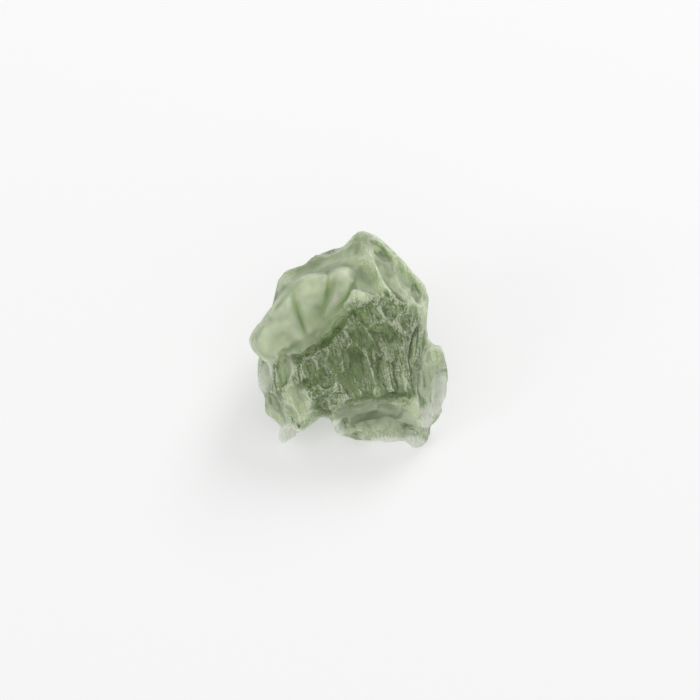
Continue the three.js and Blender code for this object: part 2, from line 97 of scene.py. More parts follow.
lobeSheet = {
    "front": 2.3, "back": 2.5, "rim": 1.5, "blend": 0.12, "middle": 1.25,
    "tilt": (0.15, -0.05), "tiltFrom": (-3.8, 2.1),
    "outline": [
        (-8, 0.5), (-7.1, 1.9), (-5.8, 3.6), (-4.4, 5.1), (-3.1, 5.8), (-1.9, 5.9), (-1, 6.3), (-0.1, 6.2),
        (0.3, 5.4), (0.2, 4.3), (-0.2, 3.3), (-0.9, 2.3), (-2, 1), (-3.2, 0.2), (-4.5, -0.6), (-5.5, -1),
        (-6.3, -1.8), (-7.5, -1.4), (-8.2, -0.6),
    ],
}

# Smooth lobes that lie on the sheet, and the thin ledge beside them
leftLobe = {
    "front": 2.0, "back": 2, "rim": 1.8, "blend": 0.2, "middle": 1.75,
    "tilt": (0.3, 0), "tiltFrom": (-6.2, 0.8),
    "outline": [
        (-4.6, 4.8), (-5.6, 4.2), (-6.5, 3.1), (-7.2, 2.2), (-8, 1.1), (-8.5, 0), (-8.3, -0.9),
        (-7.8, -1.4), (-7, -2), (-6.2, -2.2), (-5.6, -1.9), (-5.1, -1.2), (-4.6, -0.7), (-3.8, -0.2),
        (-3.6, 0.5), (-3.8, 1.7), (-4.2, 2.9), (-4.4, 3.8),
    ],
}
middleLobe = {
    "front": 1.7, "back": 2, "rim": 1.5, "blend": 0.2, "middle": 2.5,
    "tilt": (0.2, 0.05), "tiltFrom": (-3.5, 2.6),
    "outline": [
        (-1.9, 5.6), (-3.4, 5.6), (-4.3, 5.3), (-5, 4.8), (-5.2, 3.9), (-5.1, 3.1), (-4.7, 2.1), (-4.4, 1),
        (-4, 0.3), (-3.3, 0), (-2.6, 0.3), (-2, 0.9), (-1.8, 1.6), (-1.8, 2.5), (-1.7, 3.5), (-1.6, 4.5),
    ],
}
tongue = {
    "front": 2, "back": 2, "rim": 1.25, "blend": 0.1, "middle": 2.75,
    "tilt": (0.1, 0.05), "tiltFrom": (-1.1, 3.8),
    "outline": [
        (-2.1, 5.2), (-1.7, 5.9), (-1, 6.2), (-0.3, 6.2), (0.2, 5.9), (0.4, 5.4), (0.3, 4.6), (0, 3.8),
        (-0.4, 3.2), (-0.9, 2.6), (-1.4, 2), (-2, 1.5), (-2.5, 1.3), (-2.7, 1.9), (-2.6, 2.6),
        (-2.4, 3.3), (-2.2, 4.2),
    ],
}
ledge = {
    "front": 0.5, "back": 1.2, "rim": 0.3, "blend": 0.06, "middle": 3.75,
    "tilt": (-0.14, -0.22), "tiltFrom": (0.9, 3.4),
    "outline": [
        (0.2, 4.4), (0.8, 4.3), (1.5, 4), (2.2, 3.7), (1.7, 3.2), (1, 2.8), (0.3, 2.55), (-0.3, 2.4),
        (-0.6, 3), (-0.1, 3.8),
    ],
}

# Large chips of the back and sides: direction (u, v, w) from the middle, radius, depth and turn
chips = [
    (-0.2, 1, -0.55, 6.5, 1.1, 10),
    (0.9, 0.75, -0.35, 6, 1, 60),
    (1, 0, -0.75, 5.5, 1.1, 100),
    (-1, 0.25, -0.6, 6, 1.2, 30),
    (-0.95, -0.35, -0.8, 6.5, 1.1, 80),
    (0.35, 0.55, -1, 6.5, 1.3, 140),
    (-0.45, 0.65, -1, 5, 1, 20),
    (0.8, -0.5, -0.75, 5.5, 0.9, 50),
    (-1, -0.55, -0.2, 5, 0.7, 0),
]

# Hollows given by their own ellipsoid: place (u, v, w), radii, turn and blend
faceHollow = ((0.3, -1.7, 10.65), (9, 7.4, 8), 20, 0.25)
underHollows = [
    ((3.7, -10.9, 4.3), (9.6, 6.2, 5.4), -4, 0.08),
    ((0.2, -9.5, 4.4), (5.2, 4, 4.6), 14, 0.08),
    ((5.8, -9, 3.6), (4.2, 3.4, 3.6), -20, 0.08),
    ((-2.9, -9.4, -3.8), (2.2, 3.7, 3.5), 0, 0.25),
]

# Scoops in the front: place (u, v), half length, half width, turn in degrees and depth
slopeFacets = [
    (-2.9, 7, 4.4, 2, 22, 0.6),
    (4.6, 5.8, 3.9, 2.1, -52, 0.9),
]
frontScoops = [
    (0.9, -2.6, 2.3, 0.8, -72, 0.6),
    (2.6, -3.2, 1.9, 0.7, -78, 0.4),
    (4, -2.9, 2, 0.7, -78, 0.4),
    (-0.1, -3.9, 1.3, 0.6, -64, 0.35),
    (4, -4.65, 1, 0.3, 2, 0.4),
    (0.9, 2, 1.3, 0.55, -58, 0.4),
    (2, 2.5, 1.1, 0.5, -56, 0.35),
    (3.3, 2.6, 1.4, 1, -35, 0.45),
    (3.1, 0.2, 1.4, 0.95, -30, 0.4),
    (0.6, 0.3, 1, 0.7, -60, 0.3),
    (4.9, 1.6, 1, 0.75, -65, 0.55),
    (3.5, 5.5, 2.3, 1.2, -68, 0.4),
    (1.5, 5.4, 2, 1.2, -58, 0.45),
    (1, 7.9, 1.6, 0.9, -58, 0.3),
    (5, 5, 1.6, 0.8, -48, 0.3),
    (2.7, 7.6, 1.3, 0.6, -40, 0.25),
    (5.2, 3.9, 0.4, 0.25, -80, 0.2),
    (2.7, -1.5, 0.4, 0.35, -60, 0.3),
    (0.2, 2.4, 1, 0.5, 62, 0.5),
    (-0.9, 1.3, 1, 0.5, 52, 0.55),
    (-2, 0, 1, 0.5, 40, 0.5),
    (-3.2, -0.9, 1.1, 0.45, 28, 0.5),
    (-4.6, -1.7, 1, 0.45, 8, 0.3),
    (-3.5, -2.3, 0.9, 0.65, -70, 0.35),
    (-1.2, -1.3, 0.8, 0.5, -70, 0.3),
    (1.5, -4.9, 0.7, 0.3, 15, 0.35),
    (0.1, -5.25, 0.8, 0.25, 14, 0.3),
    (2.7, -5, 0.7, 0.25, 4, 0.3),
    (-2.1, -3.2, 0.9, 0.75, -50, 0.4),
    (-4.3, -5.2, 1.9, 1, -66, 0.4),
    (-5.7, -2.6, 1.4, 0.75, 75, 0.5),
    (-7.2, -3.1, 1.6, 0.7, 88, 0.4),
    (-2.5, -5.3, 0.9, 0.6, 60, 0.3),
    (-1, -5.1, 0.9, 0.6, 70, 0.3),
    (-5, -6.4, 1, 0.6, -70, 0.4),
    (-6.5, -5.3, 1, 0.4, -62, 0.4),
    (6, -4.4, 1.9, 0.4, 84, 0.25),
    (7.5, -4.6, 2.3, 0.75, 82, 0.3),
    (7.1, -1.4, 0.9, 0.6, 60, 0.3),
    (5.4, -0.9, 2, 0.5, 82, 0.4),
    (6.3, -0.4, 1.5, 0.4, 80, 0.35),
    (1.5, -7, 2.2, 0.9, 18, 0.35),
    (4.4, -7.1, 1.5, 1.1, -32, 0.3),
    (5.5, -8.3, 1, 0.6, -48, 0.2),
    (0.7, -5.7, 0.8, 0.3, 14, 0.25),
    (3.3, -5.8, 1.1, 0.65, -24, 0.4),
    (2, -6.2, 0.7, 0.4, 50, 0.2),
    (-0.6, -7.3, 1, 0.5, 78, 0.4),
    (0.6, -8.2, 0.6, 0.4, 30, 0.25),
    (5.5, 2.4, 1.2, 0.6, -80, 0.35),
    (5.8, 3.7, 1.2, 0.5, -80, 0.3),
]
ringPits = [(-0.9, -3.3, 0.45), (4.9, 1.7, 0.45)]  # place (u, v) and radius

# Patches of the front: place (u, v), half length, half width and turn. The first two lists say where
# the grainy parts were etched pale and where they were left clear.
palePatches = [
    (-3.5, -2.1, 0.8, 0.6, -70),
    (-1.7, -3.3, 0.9, 0.7, -50),
    (-1.2, -0.9, 0.6, 0.5, -60),
    (0.3, 1.6, 1, 0.5, -60),
    (1.6, 2.4, 1, 0.4, -60),
    (2.9, 2.8, 1.3, 0.9, -35),
    (2.8, -0.9, 1.5, 0.6, -75),
    (3.1, -3.4, 1.4, 0.7, -80),
    (4.4, -2.7, 1.4, 0.5, -80),
    (4.9, 1.7, 0.9, 0.7, -65),
    (-1.2, -5.2, 1.5, 0.6, 10),
    (-4.2, -5, 1.6, 1.2, -60),
    (1.4, -3.7, 0.9, 0.4, -72),
    (1, 3.4, 1.3, 0.7, -20),
    (6.6, -6.6, 1.5, 0.8, 75),
    (7.3, -1.2, 0.9, 0.7, 60),
    (2.4, -7.9, 2.8, 0.7, 2),
    (-5.4, -2.2, 1.2, 0.8, 75),
    (-4.9, -6.8, 1.1, 0.8, -70),
    (-4.6, -3, 1.2, 0.8, 60),
    (-3.1, -1, 0.9, 0.6, 30),
    (4.3, 5.8, 2.4, 1, -52),
    (-7.1, -3, 1.2, 0.6, 85),
    (-5.4, -8.2, 0.9, 0.9, 0),
]
clearPatches = [
    (0.7, -1.3, 0.9, 0.6, -70),
    (-0.1, -2.6, 1.1, 0.35, -60),
    (-3.6, -3.7, 1.4, 0.5, 20),
    (3.6, 0.4, 1.4, 0.7, -20),
    (-2.1, -0.3, 0.7, 0.4, 36),
    (-6.7, -5, 0.8, 0.5, -60),
    (1.4, -4.8, 0.7, 0.4, 20),
    (0.2, -5.2, 1.1, 0.25, 14),
    (2.6, -4.95, 0.9, 0.25, 4),
    (-1.6, 0.3, 1.4, 0.5, 46),
    (-0.2, -1.4, 1.2, 0.6, -72),
    (1, 0.7, 0.8, 0.5, -60),
    (3.9, -4.6, 1.6, 0.5, 0),
    (2.8, -1.9, 0.7, 0.4, -20),
]

# Where the front is smooth and milky, where it is thin and painted nearly white as light shining through,
# where it is smooth and glassy with painted shade, and the two light hollows at the sides
milkyPatches = [
    (-4.4, -5.4, 2.1, 1.2, -60),
    (1, 3.7, 0.9, 0.35, -24),
    (-5.4, -2.6, 1.3, 0.8, 60),
    (-6.2, -6.9, 1.1, 0.6, -50),
]
thinPlaces = [
    (-5.4, -8.3, 1.3, 1.3, 0),
    (4.2, -8.9, 3, 0.7, -5),
    (5.5, -8.9, 1.2, 0.9, -10),
    (-1.1, -7.7, 1, 0.7, 80),
    (6.6, -6.6, 1.3, 0.7, 75),
]
# Glassy patches lie where the front is in shade: less milk darkens them, partly smoother glass and partly
# painted shade
glassyShadePatches = [
    (1.8, -6, 3.2, 1.2, 0),
    (0.2, 7.6, 0.8, 0.5, 60),
    (-3.4, 6.9, 3.2, 0.8, 26),
    (2, 8.2, 1.6, 0.6, -42),
    (-1.5, 6.2, 1.2, 0.4, 20),
    (-1.7, 3.9, 1.7, 0.45, 75),
    (-2, 1.2, 2.4, 1, 48),
    (-2.8, 2.1, 1.4, 0.8, 60),
]
windows = [
    (7.6, -4.6, 2.4, 0.8, 83),
    (-7.2, -3.2, 1.6, 0.7, 85),
]

# Small scoops all over the carved face, longer and more upright to the right. A length, width, turn
# or depth is its first number at the left, and its second is what is added across the fade.
faceScoops = {
    "columns": 17, "rows": 13, "from": (-7.0, 4.1), "spacing": (0.82, -0.95), "jitter": (0.5, 0.6),
    "length": (0.55, 0.8), "width": (0.5, -0.05), "turn": (-70, -8), "turnSpread": 24,
    "depth": (0.09, 0.1), "margin": 0.15, "left": -2.1, "fade": 3.4,
    "outline": [
        (-4.3, -1), (-2.4, 0.3), (-1, 1.6), (0.2, 3.4), (3, 4.3), (4.4, 3.7), (6.3, 0.9), (5.4, -5.2),
        (2.6, -5.2), (0, -5.6), (-1.7, -6.5), (-4.3, -8), (-6, -6.3), (-7, -4.3), (-6.4, -2),
    ],
}

# Cups of the sides and the back, at random places of the cells of three lattices. They stay off the
# front, and their middles lie outside the stone by a share of their radius.
cupRules = {"highest": 1, "mostForward": 0.3, "deepest": 0.5, "shallowest": 0.86, "blend": 0.06}
cupSizes = [
    {"spacing": 2.1, "smallest": 1.4, "largest": 2.2, "seed": 3},
    {"spacing": 1.45, "smallest": 0.75, "largest": 1.25, "seed": 5},
    {"spacing": 0.9, "smallest": 0.4, "largest": 0.75, "seed": 12},
]


def unit(vector):
    return np.asarray(vector, float) / np.linalg.norm(vector)


def softMin(a, b, blend):
    return np.minimum(a, b) - np.maximum(blend - np.abs(a - b), 0) ** 2 / (4 * blend)


# A repeatable number from 0 to 1 for a set of whole numbers
def chance(*keys):
    angle = sum(key * weight for key, weight in zip(keys, (127.1, 311.7, 74.7, 53.3)))
    large = math.sin(angle) * 43758.5453
    return large - math.floor(large)


# A closed smooth line through corner points
def closedLine(corners, steps=6):
    points = np.array(corners, float)
    before, after, later = (np.roll(points, shift, axis=0) for shift in (1, -1, -2))
    line = []
    for step in range(steps):
        t = step / steps
        line.append(0.5 * (
            2 * points + (after - before) * t + (2 * before - 5 * points + 4 * after - later) * t ** 2
            + (3 * points - before - 3 * after + later) * t ** 3
        ))
    return np.stack(line, axis=1).reshape(-1, 2)


# Distance inside a closed line, negative outside it
def insideDistance(line, u, v):
    nearest = np.full(np.shape(u), 1e9)
    inside = np.zeros(np.shape(u), bool)
    for a, b in zip(line, np.roll(line, -1, axis=0)):
        du, dv = b - a
        t = np.clip(((u - a[0]) * du + (v - a[1]) * dv) / (du * du + dv * dv), 0, 1)
        nearest = np.minimum(nearest, np.hypot(u - a[0] - t * du, v - a[1] - t * dv))
        if dv:
            inside ^= ((a[1] > v) != (b[1] > v)) & (u < a[0] + (v - a[1]) * du / dv)
    return np.where(inside, nearest, -nearest)


# Distance to a pillow at places whose distance inside its outline is known
def pillowDistance(pillow, depth, u, v, w):
    side = np.maximum(1 - depth / pillow["rim"], 0)
    level = pillow["middle"] + sum(
        slope * (place - start) for slope, place, start in zip(pillow["tilt"], (u, v), pillow["tiltFrom"]))
    half = np.where(w > level, pillow["front"], pillow["back"])
    off = (w - level) / half
    near = np.sqrt(side ** 2 + off ** 2) + 1e-6
    steep = np.sqrt((side / pillow["rim"]) ** 2 + (off / half) ** 2) + 1e-6
    return (near - 1) * near / steep


# Axes of something turned in the plane of the face
def turnedAxes(degrees):
    c, s = math.cos(math.radians(degrees)), math.sin(math.radians(degrees))
    return np.array([(c, s, 0), (-s, c, 0), (0, 0, 1)])


# Axes of something that lies on a surface: along it, across it and out of it
def surfaceAxes(outward, along):
    first = unit(along - np.dot(along, outward) * outward)
    return np.array([first, np.cross(outward, first), outward])


# A block of grid points, each holding its distance to the stone's surface, negative inside
class StoneField:
    def __init__(self, low, high, step):
        self.low = np.array(low)
        self.step = step
        self.count = np.ceil((np.array(high) - self.low) / step).astype(int) + 1
        self.axes = [self.low[n] + step * np.arange(self.count[n]) for n in range(3)]
        self.values = np.full(self.count, 9.0, np.float32)

    # The grid points near an ellipsoid, and their distances to it
    def ellipsoid(self, place, radii, axes):
        reach = max(radii) * 1.12 + 0.7
        low = np.clip(np.floor((place - reach - self.low) / self.step), 0, self.count - 1).astype(int)
        high = np.clip(np.ceil((place + reach - self.low) / self.step) + 1, 1, self.count).astype(int)
        box = tuple(slice(a, b) for a, b in zip(low, high))
        u, v, w = np.ix_(*(self.axes[n][box[n]] - place[n] for n in range(3)))
        shares = [(axis[0] * u + axis[1] * v + axis[2] * w) / r for axis, r in zip(axes, radii)]
        near = np.sqrt(sum(share ** 2 for share in shares)) + 1e-6
        steep = np.sqrt(sum((share / r) ** 2 for share, r in zip(shares, radii))) + 1e-6
        return box, (near - 1) * near / steep

    def add(self, place, radii, axes, blend):
        box, distance = self.ellipsoid(np.asarray(place, float), radii, axes)
        self.values[box] = softMin(self.values[box], distance, blend)

    def cut(self, place, radii, axes, blend):
        box, distance = self.ellipsoid(np.asarray(place, float), radii, axes)
        self.values[box] = -softMin(-self.values[box], distance, blend)

    def layPillow(self, pillow):
        u, v = np.meshgrid(self.axes[0], self.axes[1], indexing="ij")
        depth = insideDistance(closedLine(pillow["outline"]), u, v)
        distance = pillowDistance(pillow, depth[:, :, None], u[:, :, None], v[:, :, None], self.axes[2])
        self.values = softMin(self.values, distance, pillow["blend"]).astype(np.float32)

    def value(self, point):
        spot = (np.asarray(point) - self.low) / self.step
        cell = np.clip(np.floor(spot).astype(int), 0, self.count - 2)
        share = np.clip(spot - cell, 0, 1)
        corners = self.values[cell[0]:cell[0] + 2, cell[1]:cell[1] + 2, cell[2]:cell[2] + 2]
        for part in share:
            corners = corners[0] * (1 - part) + corners[1] * part
        return float(corners)

    def outward(self, point, reach=0.35):
        return unit([
            self.value(point + reach * axis) - self.value(point - reach * axis) for axis in np.eye(3)])

    # The first place on the surface that is met on the way from a start outside, or None
    def meet(self, start, way, march=0.08):
        place = np.array(start, float)
        before = self.value(place)
        for _ in range(int(30 / march)):
            place = place + way * march
            after = self.value(place)
            if after < 0:
                return place + way * march * after / (before - after)
            before = after
        return None

    def front(self, u, v):
        return self.meet((u, v, 6.9), np.array((0.0, 0.0, -1.0)))

    # Takes an ellipsoid bite of the given length, width and depth at the surface
    def scoop(self, at, outward, along, halfLength, halfWidth, depth, roundness=1.0, blend=0.05):
        height = max(halfWidth * roundness, depth * 1.05)
        cutShare = math.sqrt(max(1 - (1 - depth / height) ** 2, 0.05))
        radii = (halfLength / cutShare, halfWidth / cutShare, height)
        self.cut(at + outward * (height - depth), radii, surfaceAxes(outward, along), blend)

    def scoopFront(self, u, v, halfLength, halfWidth, turn, depth, blend=0.05):
        at = self.front(u, v)
        if at is None:
            return
        outward = unit(0.75 * self.outward(at) + np.array((0, 0, 0.25)))
        self.scoop(at, outward, turnedAxes(turn)[0], halfLength, halfWidth, depth, blend=blend)

    def chipSide(self, u, v, w, radius, depth, turn):
        way = unit((u, v, w))
        at = self.meet(np.array(stone["bodyCentre"]) + way * 12, -way)
        outward = unit(self.outward(at) + 0.6 * way)
        halfWidth = math.sqrt(2 * radius * depth)
        along = turnedAxes(turn)[0] + (0, 0, 0.2)
        self.scoop(at, outward, along, 1.25 * halfWidth, halfWidth, depth, radius / halfWidth, 0.25)

    def scoopFace(self, face):
        line = closedLine(face["outline"])
        for row in range(face["rows"]):
            for column in range(face["columns"]):
                random = [chance(column, row, n) for n in range(7)]
                u = face["from"][0] + (column + row % 2 / 2) * face["spacing"][0]
                v = face["from"][1] + row * face["spacing"][1]
                u += face["jitter"][0] * (random[1] - 0.5)
                v += face["jitter"][1] * (random[2] - 0.5)
                if insideDistance(line, u, v) < face["margin"]:
                    continue
                right = min(max((u - face["left"]) / face["fade"], 0), 1)
                length, width, turn = (
                    face[name][0] + face[name][1] * right for name in ("length", "width", "turn"))
                self.scoopFront(
                    u, v, length * (0.8 + 0.5 * random[3]), width * (0.8 + 0.5 * random[4]),
                    turn + face["turnSpread"] * (random[5] - 0.5),
                    face["depth"][0] + face["depth"][1] * random[6])

    def cutCups(self, spacing, smallest, largest, seed):
        low = np.floor(np.array(stone["gridLow"]) / spacing).astype(int)
        high = np.ceil(np.array(stone["gridHigh"]) / spacing).astype(int)
        cups = []
        for cell in np.ndindex(*(high - low + 1)):
            i, j, k = (int(n) for n in cell + low)
            random = [chance(i, j, k, seed + n) for n in range(9)]
            centre = (np.array((i, j, k)) + random[:3]) * spacing
            outside = (centre < stone["gridLow"]).any() or (centre > stone["gridHigh"]).any()
            if outside or centre[2] > cupRules["highest"]:
                continue
            radius = smallest + (largest - smallest) * random[4]
            if not cupRules["deepest"] < self.value(centre) / radius < cupRules["shallowest"]:
                continue
            outward = self.outward(centre)
            if outward[2] > cupRules["mostForward"]:
                continue
            axes = surfaceAxes(outward, np.cross(np.array(random[6:9]) - 0.5, outward))
            cups.append((centre, (radius * (1 + 0.6 * random[5]), radius, radius), axes))
        for centre, radii, axes in cups:
            self.cut(centre, radii, axes, cupRules["blend"])

    # Thins the stone by a grid point wherever it would meet itself only along a line or at a point
    def clearPinches(self):
        corners = [(a, b, c) for a in (0, 1) for b in (0, 1) for c in (0, 1)]
        shape = self.count - 1
        while True:
            inside = self.values < 0
            at = {
                corner: inside[tuple(slice(n, n + size) for n, size in zip(corner, shape))]
                for corner in corners
            }
            pinched = np.zeros(shape, bool)
            for axis in range(3):
                a, b = (other for other in range(3) if other != axis)
                for side in (0, 1):
                    ring = []
                    for first, second in ((0, 0), (0, 1), (1, 1), (1, 0)):
                        corner = [side] * 3
                        corner[a], corner[b] = first, second
                        ring.append(at[tuple(corner)])
                    pinched |= (ring[0] == ring[2]) & (ring[1] == ring[3]) & (ring[0] != ring[1])
            total = sum(part.astype(np.int8) for part in at.values())
            for corner in corners[:4]:
                other = tuple(1 - n for n in corner)
                pinched |= (total == 2) & at[corner] & at[other]
                pinched |= (total == 6) & ~at[corner] & ~at[other]
            cells = np.argwhere(pinched)
            if not len(cells):
                return
            for cell in cells:
                block = tuple(slice(n, n + 2) for n in cell)
                values = self.values[block].copy()
                values[values >= 0] = -9
                thinnest = np.unravel_index(values.argmax(), values.shape)
                self.values[tuple(cell + thinnest)] = 0.004  # just outside


def shapeStone():
    field = StoneField(stone["gridLow"], stone["gridHigh"], stone["gridStep"])
    field.layPillow(body)
    for chip in chips:
        field.chipSide(*chip)
    for facet in slopeFacets:
        field.scoopFront(*facet, blend=0.2)
    place, radii, turn, blend = faceHollow
    field.cut(place, radii, turnedAxes(turn), blend)
    for pillow in (flange, foot, skirt, lobeSheet, leftLobe, middleLobe, tongue):
        field.layPillow(pillow)
    place, radii, turn, blend = stone["knob"]
    field.add(place, radii, turnedAxes(turn), blend)
    for place, radii, turn, blend in underHollows:
        field.cut(place, radii, turnedAxes(turn), blend)
    field.scoopFace(faceScoops)
    for entry in frontScoops:
        field.scoopFront(*entry)
    field.layPillow(ledge)
    for u, v, radius in ringPits:
        at = field.front(u, v)
        along = np.array((1, 0, 0))
        field.scoop(at, field.outward(at), along, radius, radius, stone["pitDepth"], blend=0.04)
    for size in cupSizes:
        field.cutCups(**size)
    height = field.axes[1][:, None] * math.sin(lean) + field.axes[2] * math.cos(lean) + stone["floorDrop"]
    field.values = np.maximum(field.values, -height).astype(np.float32)
    field.clearPinches()
    return field


# A net over the surface: a vertex in each cell that it crosses, a quad across each crossed edge
def surfaceNet(field):
    values = field.values
    inside = values < 0
    corners = [(a, b, c) for a in (0, 1) for b in (0, 1) for c in (0, 1)]
    total = sum(
        inside[tuple(slice(n, size - 1 + n) for n, size in zip(corner, values.shape))].astype(np.int8)
        for corner in corners)
    cells = np.argwhere((total > 0) & (total < 8))
    number = np.full(total.shape, -1)
    number[tuple(cells.T)] = np.arange(len(cells))
    sums, counts = np.zeros((len(cells), 3)), np.zeros((len(cells), 1))
    for corner in corners:
        for axis in range(3):
            if corner[axis]:
                continue
            other = [1 if n == axis else part for n, part in enumerate(corner)]
            here, there = values[tuple((cells + corner).T)], values[tuple((cells + other).T)]
            crossed = (here < 0) != (there < 0)
            crossing = np.tile(np.array(corner, float), (len(cells), 1))
            crossing[:, axis] = here / np.where(crossed, here - there, 1)
            sums += np.where(crossed[:, None], crossing, 0)
            counts += crossed[:, None]
    vertices = field.low + field.step * (cells + sums / counts)
    quads = []
    for axis in range(3):
        first, second = (axis + 1) % 3, (axis + 2) % 3
        start, end = [slice(None)] * 3, [slice(None)] * 3
        start[axis], end[axis] = slice(0, -1), slice(1, None)
        edges = np.argwhere(inside[tuple(start)] != inside[tuple(end)])
        ring = []
        for a, b in ((-1, -1), (0, -1), (0, 0), (-1, 0)):
            cell = edges.copy()
            cell[:, first] += a
            cell[:, second] += b
            ring.append(number[tuple(cell.T)])
        quad = np.stack(ring, axis=1)
        outwards = ~inside[tuple(edges.T)]
        quad[outwards] = quad[outwards][:, ::-1]
        quads.append(quad)
    return vertices, np.concatenate(quads)


# Keeps the largest of the pieces that the quads join
def largestPiece(vertices, quads):
    label = np.arange(len(vertices))
    while True:
        lowest = label.copy()
        for corner in range(4):
            np.minimum.at(lowest, quads[:, corner], label[quads].min(axis=1))
        lowest = lowest[lowest]
        if (lowest == label).all():
            break
        label = lowest
    names, counts = np.unique(label, return_counts=True)
    keep = label == names[counts.argmax()]
    return vertices[keep], (np.cumsum(keep) - 1)[quads[keep[quads[:, 0]]]]


def smoothStep(value, low, high):
    t = np.clip((value - low) / (high - low), 0, 1)
    return t * t * (3 - 2 * t)


field = shapeStone()
faceVertices, quads = largestPiece(*surfaceNet(field))
print("stone shaped:", len(faceVertices), "vertices,", len(quads), "quads")


# From millimetres in the face frame to metres in the resting place
def standUp(u, v, w):
    return np.stack([
        u,
        v * math.cos(lean) - w * math.sin(lean),
        v * math.sin(lean) + w * math.cos(lean) + stone["floorDrop"],
    ], axis=-1) * mm


u, v, w = faceVertices.T
mesh = bpy.data.meshes.new("moldavite_glass")
mesh.from_pydata(standUp(u, v, w).tolist(), [], quads.tolist())
mesh.polygons.foreach_set("use_smooth", [True] * len(mesh.polygons))

# How smooth each part of the front is, and how pale
marking = {
    "uncarved": 0.66,  # all but the carved face, less the next three at their places
    "lessOnFlange": 0.25,
    "lessOnRight": 0.1,
    "lessOnFoot": 0.06,
    "milky": 0.7,
    "window": 0.8,
    "leastPale": 0.3,
    "palenessRight": 0.7,
    "clearing": 0.85,  # part of the paleness that the clear patches lose
}

# How much each point belongs to the parts of the stone, fading in over some tenths of a millimetre
lobeDepth = insideDistance(closedLine(lobeSheet["outline"]), u, v)
onLobes = smoothStep(lobeDepth, -0.1, 0.5) * smoothStep(w, 0.6, 1.6)
carvedDepth = insideDistance(closedLine(faceScoops["outline"]), u, v)
onFace = smoothStep(carvedDepth, -0.2, 0.4) * smoothStep(w, 0.5, 1.5) * (1 - onLobes)
front = smoothStep(w, -2.5, 0.5)
onFlange = smoothStep(u, 5.6, 6.6) * smoothStep(-v, 0, 2)
onRight = smoothStep(u, 0.2, 1.2) * smoothStep(v, 0, 3)
onFoot = smoothStep(-v, 5.1, 5.7)


# How much each point lies in any of a list of patches
def patchAmount(patches):
    most = np.zeros(len(u))
    for patchU, patchV, halfLength, halfWidth, turn in patches:
        along, across, _ = turnedAxes(turn)
        reach = np.hypot(
            ((u - patchU) * along[0] + (v - patchV) * along[1]) / halfLength,
            ((u - patchU) * across[0] + (v - patchV) * across[1]) / halfWidth)
        most = np.maximum(most, smoothStep(-reach, -1.2, -0.6))
    return most


window = patchAmount(windows) * smoothStep(w, -5, -3.5)
uncarved = front * (1 - onFace) * (
    marking["uncarved"] - marking["lessOnFlange"] * onFlange
    - marking["lessOnRight"] * onRight - marking["lessOnFoot"] * onFoot)
thin = np.maximum(smoothStep(w, -4.5, -2) * patchAmount(thinPlaces), window)
milky = np.maximum(front * patchAmount(milkyPatches), thin)
smooth = np.maximum.reduce([onLobes, uncarved, marking["milky"] * milky, marking["window"] * window])
etchedPale = marking["leastPale"] + (1 - marking["leastPale"]) * patchAmount(palePatches)
pale = np.maximum.reduce([etchedPale, marking["palenessRight"] * onRight, milky])
pale = pale * (1 - onLobes) * (1 - marking["clearing"] * patchAmount(clearPatches)) * front
marks = {
    "smooth": smooth, "carved": onFace, "pale": pale, "window": window, "front": front, "thin": thin,
    "glassyShade": front * patchAmount(glassyShadePatches),
}
for name, amounts in marks.items():
    mesh.attributes.new(name, "FLOAT", "POINT").data.foreach_set("value", amounts.astype(np.float32))
moldavite = bpy.data.objects.new("moldavite_stone", mesh)
bpy.context.scene.collection.objects.link(moldavite)


# Node graphs. A Wire is a socket that can be used in sums: each operator adds a Math node
class Wire:
    def __init__(self, graph, socket):
        self.graph = graph
        self.socket = socket

    def maths(self, operation, *values):
        return self.graph.add("ShaderNodeMath", {"operation": operation}, dict(enumerate(values)))

    def __add__(self, other):
        return self.maths("ADD", self, other)

    def __sub__(self, other):
        return self.maths("SUBTRACT", self, other)

    def __rsub__(self, other):
        return self.maths("SUBTRACT", other, self)

    def __mul__(self, other):
        return self.maths("MULTIPLY", self, other)

    def __rtruediv__(self, other):
        return self.maths("DIVIDE", other, self)

    __radd__ = __add__
    __rmul__ = __mul__

    # 0 below low, 1 above high, smooth between
    def between(self, low, high):
        return self.graph.add(
            "ShaderNodeMapRange", {"interpolation_type": "SMOOTHSTEP"},
            {"Value": self, "From Min": low, "From Max": high})


class Graph:
    def __init__(self, tree):
        self.tree = tree
        tree.nodes.clear()

    def node(self, kind, settings=None, inputs=None):
        made = self.tree.nodes.new(kind)
        for name, value in (settings or {}).items():
            setattr(made, name, value)
        for name, value in (inputs or {}).items():
            if isinstance(value, Wire):
                self.tree.links.new(value.socket, made.inputs[name])
            else:
                made.inputs[name].default_value = value
        return made

    def add(self, kind, settings=None, inputs=None, output=0):
        return Wire(self, self.node(kind, settings, inputs).outputs[output])


# Etching: small overlapping cups everywhere, and fine flutes that run down the carved face
etching = {
    "cup spacing": 0.55 * mm,
    "cup depth": 0.03 * mm,
    "fine cup spacing": 0.3 * mm,
    "fine cup depth": 0.02 * mm,
    "flute spacing": 0.28 * mm,
    "flute length": 2.4 * mm,
    "flute depth": 0.04 * mm,
    "flute slant": math.radians(14),
    "wobble size": 1.1 * mm,
    "wobble": 0.3 * mm,
    "seed": 4.0,
}

# Levels between which the etching fades in, and the part of it that smooth places lose
etchFades = {
    "height": (0.05 * mm, 0.35 * mm),  # the resting flat stays flat
    "right": (-1.5 * mm, 1.5 * mm),
    "cup": (0.0, 0.75),
    "flute": (0.3, 0.7),
    "leftFlutes": 0.25,  # share of the flutes' depth that is left at the left
    "lostCups": 0.92,
    "lostFineCups": 0.95,
    "lostWobble": 0.5,
}


